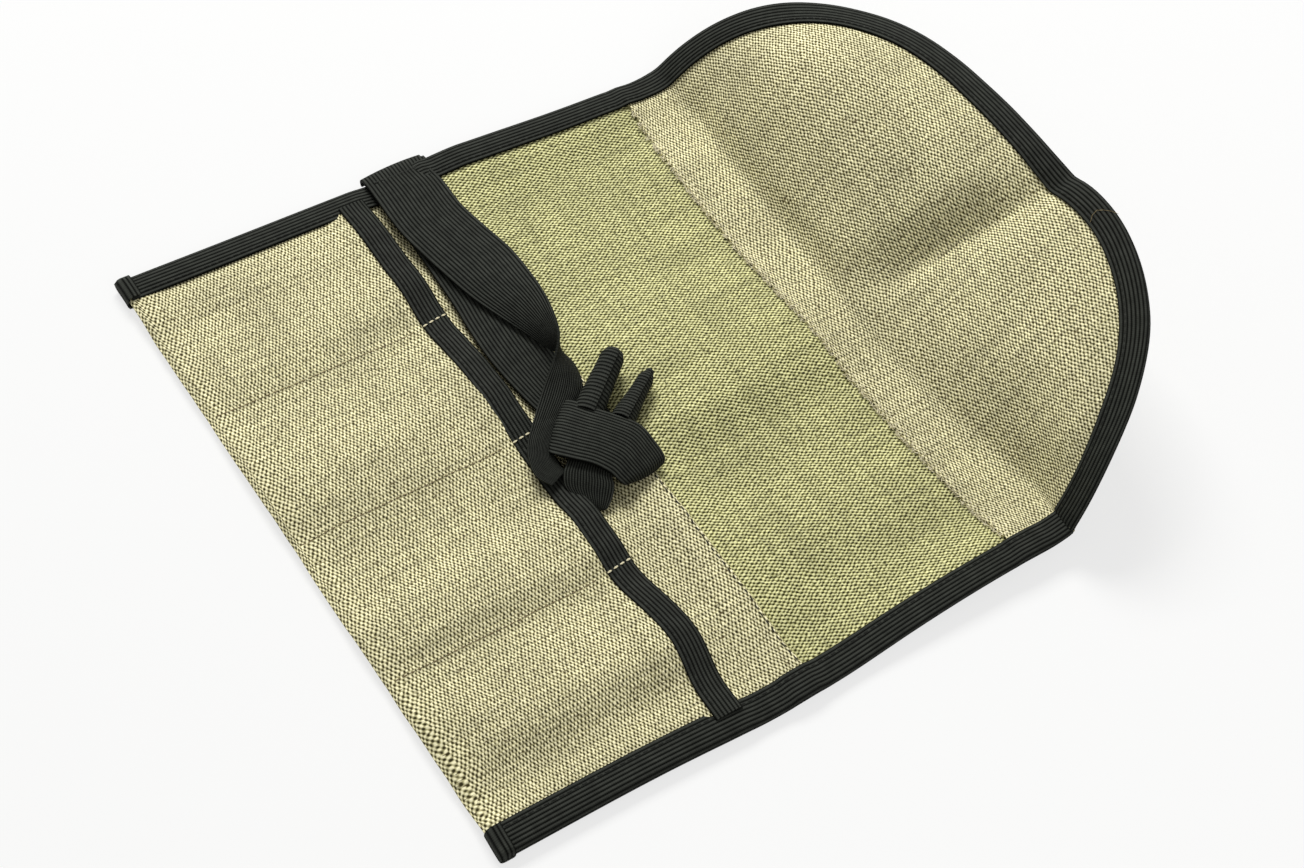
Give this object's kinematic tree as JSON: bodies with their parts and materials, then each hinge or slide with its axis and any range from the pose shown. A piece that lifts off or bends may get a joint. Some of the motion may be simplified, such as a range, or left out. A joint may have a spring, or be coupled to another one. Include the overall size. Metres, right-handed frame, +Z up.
{
  "type": "tool roll",
  "caption": "Open canvas tool roll with stitched pockets, a contrasting centre panel, a raised round flap, black tape bindings and a knotted tie; it rolls up on its pocket seams.",
  "frame": {"origin": "middle of the footprint of the open roll, on the surface it lies on", "axes": "+X from the pocket fold to the flap tip, +Y across the pockets to the long edge with the tie, +Z up"},
  "size_m": [0.298, 0.2512, 0.0593],
  "materials": {
    "canvas": "coarse plain weave, beige, matte",
    "canvas_green": "coarse plain weave, olive green, matte",
    "tape": "ribbed woven tape, black, matte",
    "thread_light": "sewing thread, pale",
    "thread_black": "sewing thread, black"
  },
  "bodies": {
    "column_1": {"pocket_back_1": "canvas", "pocket_front_1": "canvas", "mouth_binding_1": "tape", "mouth_thread_1": "thread_black", "centre_panel_1": "canvas_green", "seam_1_thread_1": "thread_light", "seam_2_thread_1": "thread_light", "flap_band_1": "canvas", "side_binding_near": "tape", "edge_thread_near": "thread_black"},
    "column_2": {"pocket_back_2": "canvas", "pocket_front_2": "canvas", "mouth_binding_2": "tape", "mouth_thread_2": "thread_black", "centre_panel_2": "canvas_green", "seam_1_thread_2": "thread_light", "seam_2_thread_2": "thread_light", "flap_band_2": "canvas", "divider_thread_1": "thread_light"},
    "column_3": {"pocket_back_3": "canvas", "pocket_front_3": "canvas", "mouth_binding_3": "tape", "mouth_thread_3": "thread_black", "centre_panel_3": "canvas_green", "seam_1_thread_3": "thread_light", "seam_2_thread_3": "thread_light", "flap_band_3": "canvas", "divider_thread_2": "thread_light"},
    "column_4": {"pocket_back_4": "canvas", "pocket_front_4": "canvas", "mouth_binding_4": "tape", "mouth_thread_4": "thread_black", "centre_panel_4": "canvas_green", "seam_1_thread_4": "thread_light", "seam_2_thread_4": "thread_light", "flap_band_4": "canvas", "divider_thread_3": "thread_light", "side_binding_far": "tape", "edge_thread_far": "thread_black", "tie_root": "tape", "tie_tack_thread": "thread_black"},
    "flap_strip_1": {"flap_cloth_1": "canvas", "flap_binding_1": "tape", "flap_edge_thread_1": "thread_black"},
    "flap_strip_2": {"flap_cloth_2": "canvas", "flap_binding_2": "tape", "flap_edge_thread_2": "thread_black"},
    "flap_strip_3": {"flap_cloth_3": "canvas", "flap_binding_3": "tape", "flap_edge_thread_3": "thread_black"},
    "flap_strip_4": {"flap_cloth_4": "canvas", "flap_binding_4": "tape", "flap_edge_thread_4": "thread_black"},
    "tie": {"tie_lower_tail": "tape", "tie_upper_tail": "tape", "tie_knot": "tape", "tie_end_thick": "tape", "tie_end_thin": "tape"}
  },
  "joints": [
    {"name": "roll_1", "type": "hinge", "parent": "column_2", "child": "column_1", "pos_m": [-0.03742, -0.05792, 0.0013], "axis": [-1, 0, 0], "range_deg": [0, 80], "deforming": ["flap_cloth_1", "flap_binding_1", "flap_edge_thread_1", "flap_cloth_2", "flap_binding_2", "flap_edge_thread_2", "flap_cloth_3", "flap_binding_3", "flap_edge_thread_3", "flap_cloth_4", "flap_binding_4", "flap_edge_thread_4"]},
    {"name": "roll_2", "type": "hinge", "parent": "column_2", "child": "column_3", "pos_m": [-0.03742, -0.00055, 0.0013], "axis": [1, 0, 0], "range_deg": [0, 80], "deforming": ["flap_cloth_1", "flap_binding_1", "flap_edge_thread_1", "flap_cloth_2", "flap_binding_2", "flap_edge_thread_2", "flap_cloth_3", "flap_binding_3", "flap_edge_thread_3", "flap_cloth_4", "flap_binding_4", "flap_edge_thread_4"]},
    {"name": "roll_3", "type": "hinge", "parent": "column_3", "child": "column_4", "pos_m": [-0.03742, 0.05683, 0.0013], "axis": [1, 0, 0], "range_deg": [0, 80], "deforming": ["flap_cloth_1", "flap_binding_1", "flap_edge_thread_1", "flap_cloth_2", "flap_binding_2", "flap_edge_thread_2", "flap_cloth_3", "flap_binding_3", "flap_edge_thread_3", "flap_cloth_4", "flap_binding_4", "flap_edge_thread_4"]},
    {"name": "flap_turn_1", "type": "hinge", "parent": "column_1", "child": "flap_strip_1", "pos_m": [0.07258, -0.08661, 0.006], "axis": [0, -1, 0], "range_deg": [-26, 120]},
    {"name": "flap_turn_2", "type": "hinge", "parent": "column_2", "child": "flap_strip_2", "pos_m": [0.07258, -0.02924, 0.006], "axis": [0, -1, 0], "range_deg": [-26, 120]},
    {"name": "flap_turn_3", "type": "hinge", "parent": "column_3", "child": "flap_strip_3", "pos_m": [0.07258, 0.02814, 0.006], "axis": [0, -1, 0], "range_deg": [-26, 120]},
    {"name": "flap_turn_4", "type": "hinge", "parent": "column_4", "child": "flap_strip_4", "pos_m": [0.07258, 0.08551, 0.006], "axis": [0, -1, 0], "range_deg": [-26, 120]},
    {"name": "tie_lift", "type": "hinge", "parent": "column_4", "child": "tie", "pos_m": [-0.03892, 0.12515, 0.0067], "axis": [-1, 0, 0], "range_deg": [0, 170]}
  ],
  "couplings": [
    {"joint": "roll_2", "follows": "roll_1", "ratio": 1},
    {"joint": "roll_3", "follows": "roll_1", "ratio": 1},
    {"joint": "tie_lift", "follows": "roll_1", "ratio": 2.125},
    {"joint": "flap_turn_2", "follows": "flap_turn_1", "ratio": 1},
    {"joint": "flap_turn_3", "follows": "flap_turn_1", "ratio": 1},
    {"joint": "flap_turn_4", "follows": "flap_turn_1", "ratio": 1}
  ]
}
